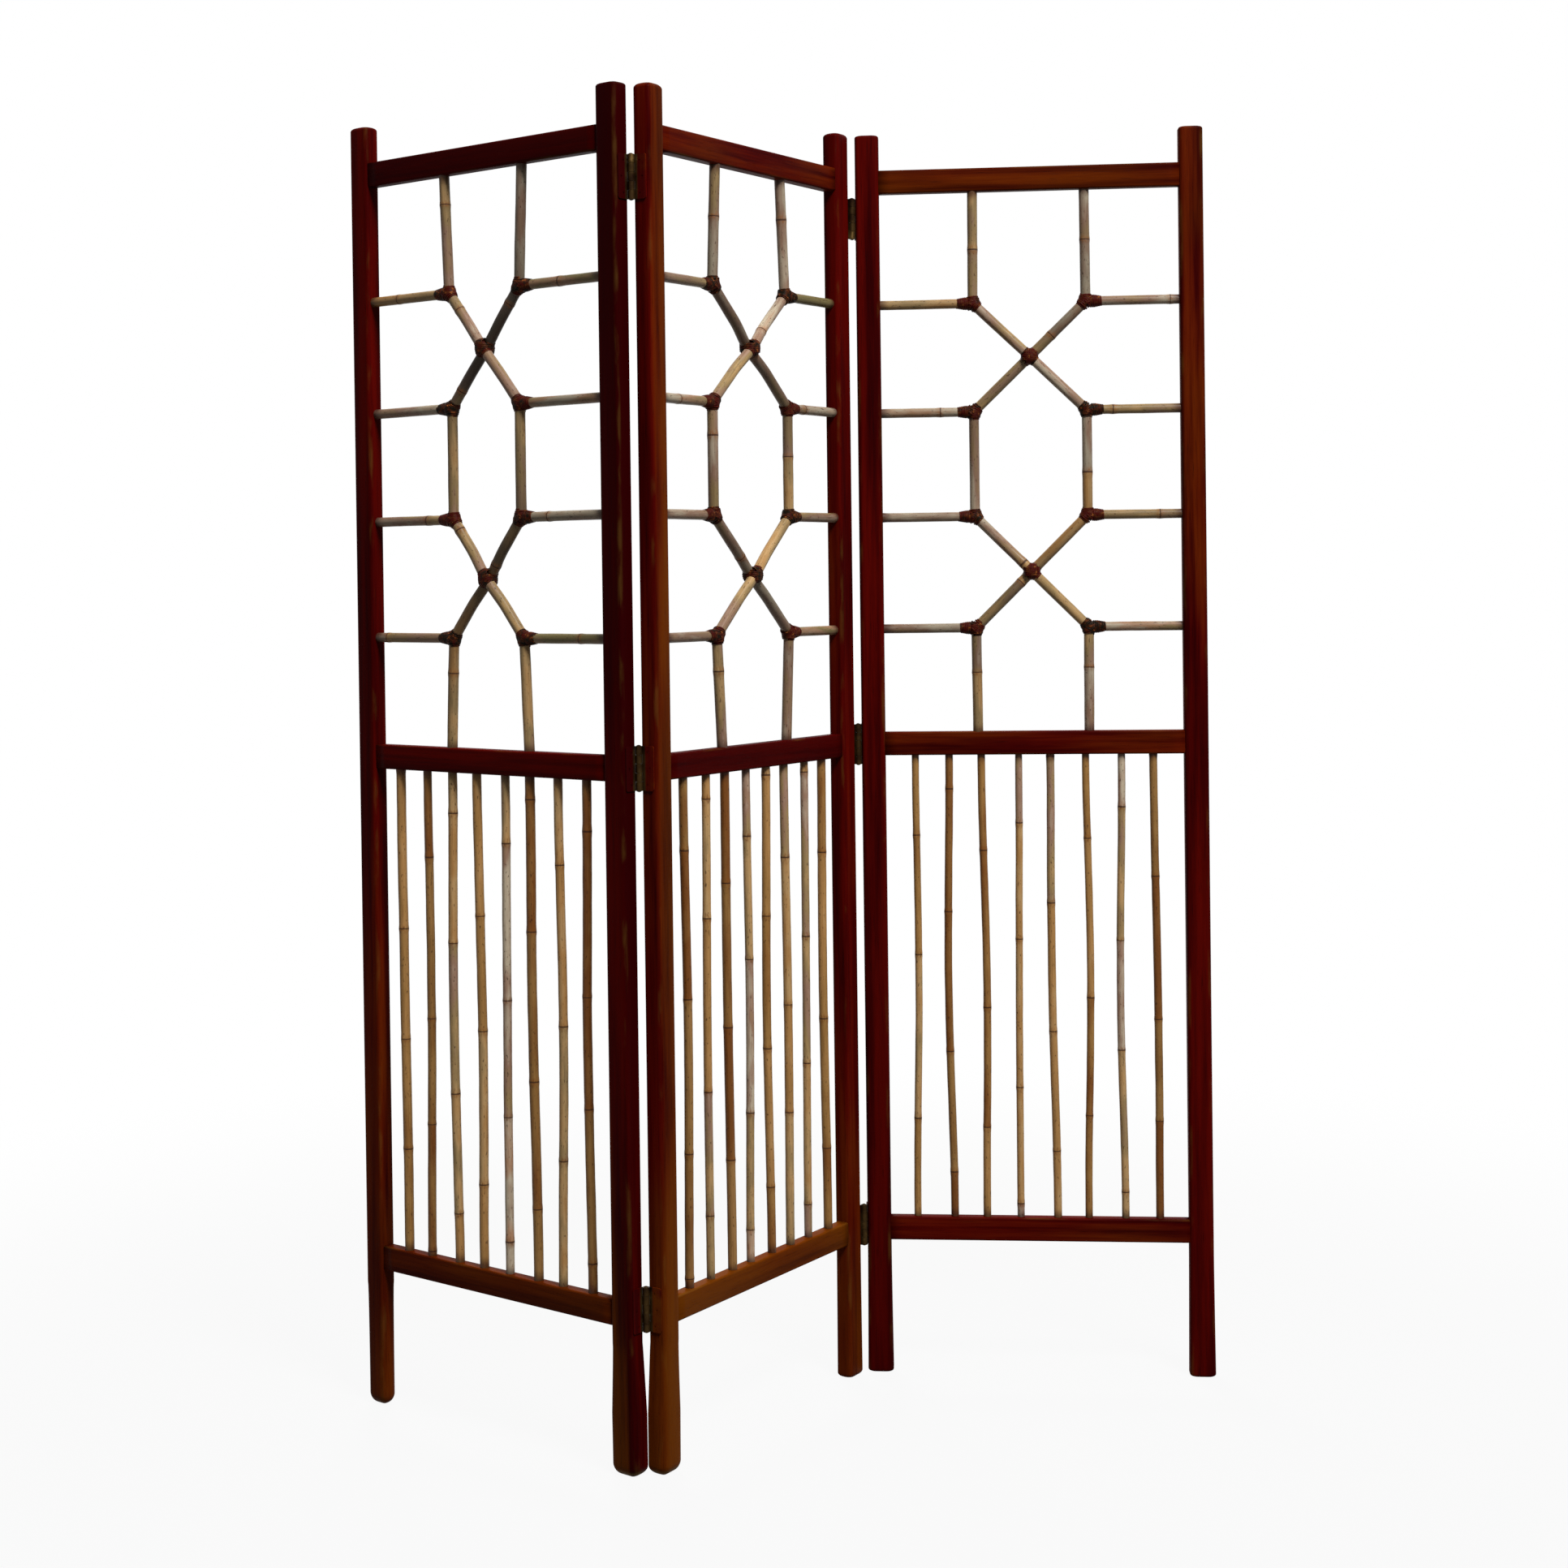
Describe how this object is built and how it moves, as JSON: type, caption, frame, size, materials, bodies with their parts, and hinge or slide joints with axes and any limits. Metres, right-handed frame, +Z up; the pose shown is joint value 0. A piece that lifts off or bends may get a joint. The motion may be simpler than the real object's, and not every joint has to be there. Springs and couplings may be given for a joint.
{
  "type": "folding screen",
  "caption": "Free-standing folding screen with hinged wooden frames, a lattice of bent cane above and upright cane spindles below.",
  "frame": {"origin": "on the floor, under the centre of the box round the half-open screen", "axes": "+Z up along the stiles, X along the length of the half-open screen, +Y towards its back"},
  "size_m": [1.2158, 0.4447, 1.8],
  "materials": {
    "frame_wood": "dark red-brown stained wood with a worn satin finish",
    "cane": "weathered natural rattan pole, tan with paler and darker patches",
    "peel": "dark stained rattan peel, wound tight",
    "hinge_metal": "dark bronze coloured metal, worn"
  },
  "bodies": {
    "middle_panel": {"middle_left_stile": "frame_wood", "middle_right_stile": "frame_wood", "middle_top_rail": "frame_wood", "middle_middle_rail": "frame_wood", "middle_bottom_rail": "frame_wood", "middle_front_cane": "cane", "middle_rear_cane": "cane", "middle_left_side_canes": "cane", "middle_right_side_canes": "cane", "middle_spindles": "cane", "middle_joint_lashings": "peel", "middle_cross_lashings": "peel", "left_top_hinge_outer_leaf": "hinge_metal", "left_top_hinge_pin": "hinge_metal", "left_middle_hinge_outer_leaf": "hinge_metal", "left_middle_hinge_pin": "hinge_metal", "left_bottom_hinge_outer_leaf": "hinge_metal", "left_bottom_hinge_pin": "hinge_metal", "right_top_hinge_outer_leaf": "hinge_metal", "right_top_hinge_pin": "hinge_metal", "right_middle_hinge_outer_leaf": "hinge_metal", "right_middle_hinge_pin": "hinge_metal", "right_bottom_hinge_outer_leaf": "hinge_metal", "right_bottom_hinge_pin": "hinge_metal", "middle_left_screws": "hinge_metal", "middle_right_screws": "hinge_metal"},
    "left_panel": {"left_outer_stile": "frame_wood", "left_inner_stile": "frame_wood", "left_top_rail": "frame_wood", "left_middle_rail": "frame_wood", "left_bottom_rail": "frame_wood", "left_front_cane": "cane", "left_rear_cane": "cane", "left_outer_side_canes": "cane", "left_inner_side_canes": "cane", "left_spindles": "cane", "left_joint_lashings": "peel", "left_cross_lashings": "peel", "left_top_hinge_inner_leaf": "hinge_metal", "left_middle_hinge_inner_leaf": "hinge_metal", "left_bottom_hinge_inner_leaf": "hinge_metal", "left_panel_screws": "hinge_metal"},
    "right_panel": {"right_inner_stile": "frame_wood", "right_outer_stile": "frame_wood", "right_top_rail": "frame_wood", "right_middle_rail": "frame_wood", "right_bottom_rail": "frame_wood", "right_front_cane": "cane", "right_rear_cane": "cane", "right_inner_side_canes": "cane", "right_outer_side_canes": "cane", "right_spindles": "cane", "right_joint_lashings": "peel", "right_cross_lashings": "peel", "right_top_hinge_inner_leaf": "hinge_metal", "right_middle_hinge_inner_leaf": "hinge_metal", "right_bottom_hinge_inner_leaf": "hinge_metal", "right_panel_screws": "hinge_metal"}
  },
  "joints": [
    {"name": "fold_left", "type": "hinge", "parent": "middle_panel", "child": "left_panel", "pos_m": [-0.20632, -0.20507, 0.917], "axis": [0, 0, 1], "range_deg": [-84.8, 95.2]},
    {"name": "fold_right", "type": "hinge", "parent": "middle_panel", "child": "right_panel", "pos_m": [0.10414, 0.19742, 0.917], "axis": [0, 0, 1], "range_deg": [-118.9, 61.1]}
  ]
}
